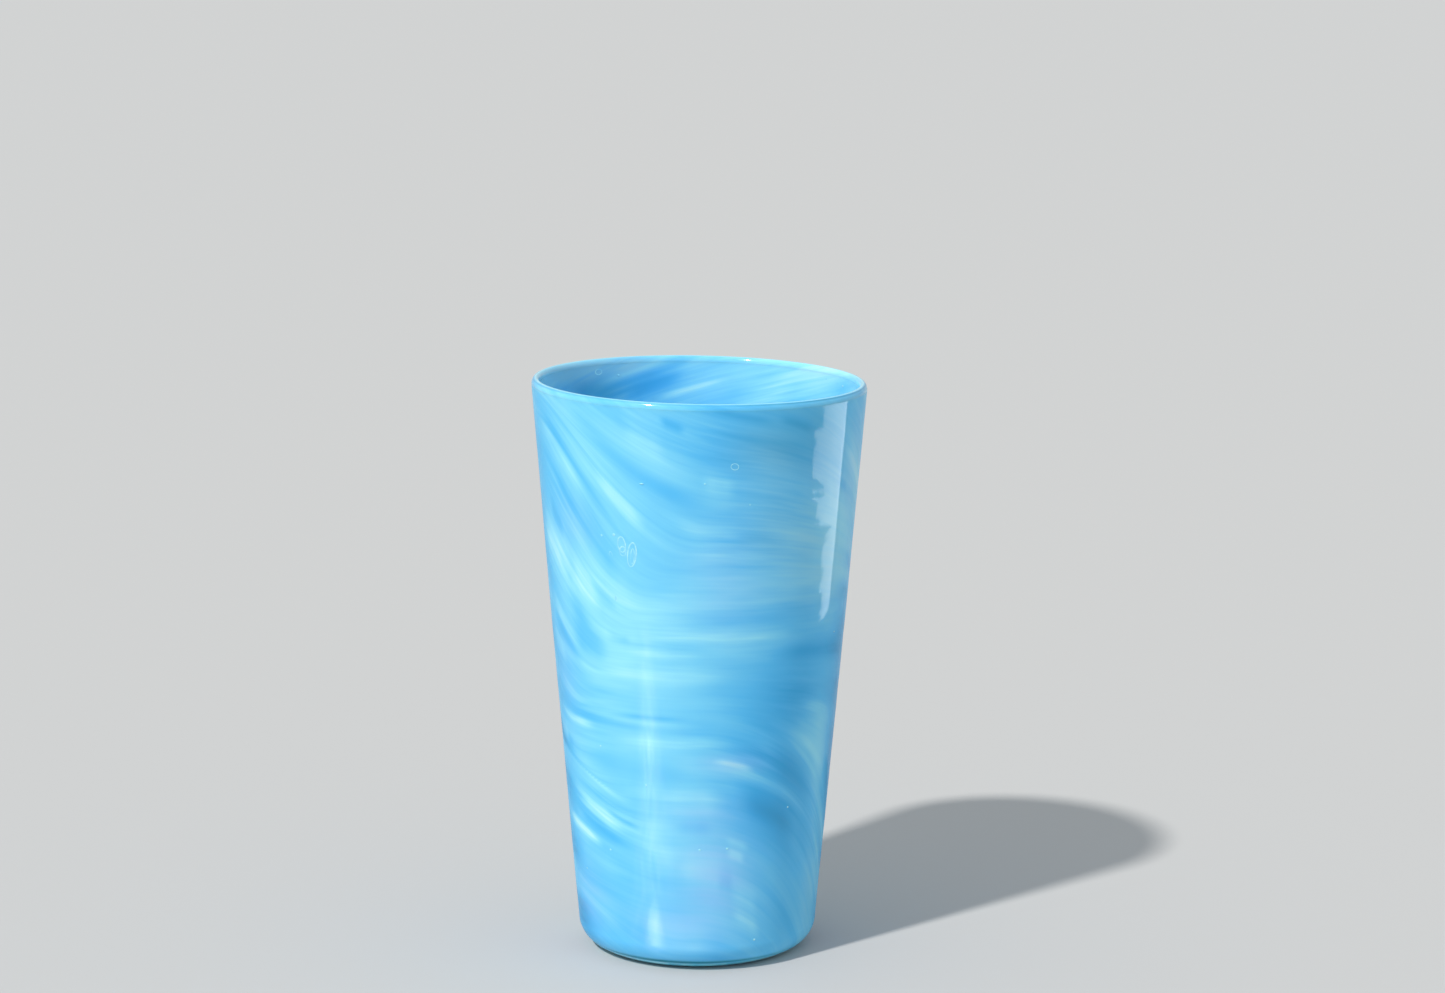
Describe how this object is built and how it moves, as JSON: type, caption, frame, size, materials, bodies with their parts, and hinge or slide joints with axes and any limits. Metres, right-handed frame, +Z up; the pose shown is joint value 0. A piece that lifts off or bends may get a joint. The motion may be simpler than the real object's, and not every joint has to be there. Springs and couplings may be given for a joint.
{
  "type": "drinking tumbler",
  "caption": "Tall tapered hand-blown drinking tumbler in swirled sky-blue and white opal glass, with a fire-polished lip, a rounded heel and a pushed-up foot.",
  "frame": {"origin": "centre of the foot, on the surface that the glass stands on", "axes": "+Z up along the axis of the glass, out of its mouth; +X towards the side where the lip is lowest; -Y towards a viewer who sees the low side of the lip on the right"},
  "size_m": [0.0882, 0.0878, 0.1526],
  "materials": {
    "lining_glass": "clear, fire-polished",
    "opal_glass": "opal, swirled sky-blue and white",
    "casing_glass": "clear, fire-polished",
    "lip_glass": "deeper blue, fire-polished",
    "foot_glass": "turquoise tint, smooth",
    "ground_glass": "ground and lightly polished"
  },
  "bodies": {
    "root": {"inner_lining": "lining_glass", "colour_layer": "opal_glass", "outer_casing": "casing_glass", "lip": "lip_glass", "foot": "foot_glass", "pontil_button": "ground_glass"}
  },
  "joints": []
}
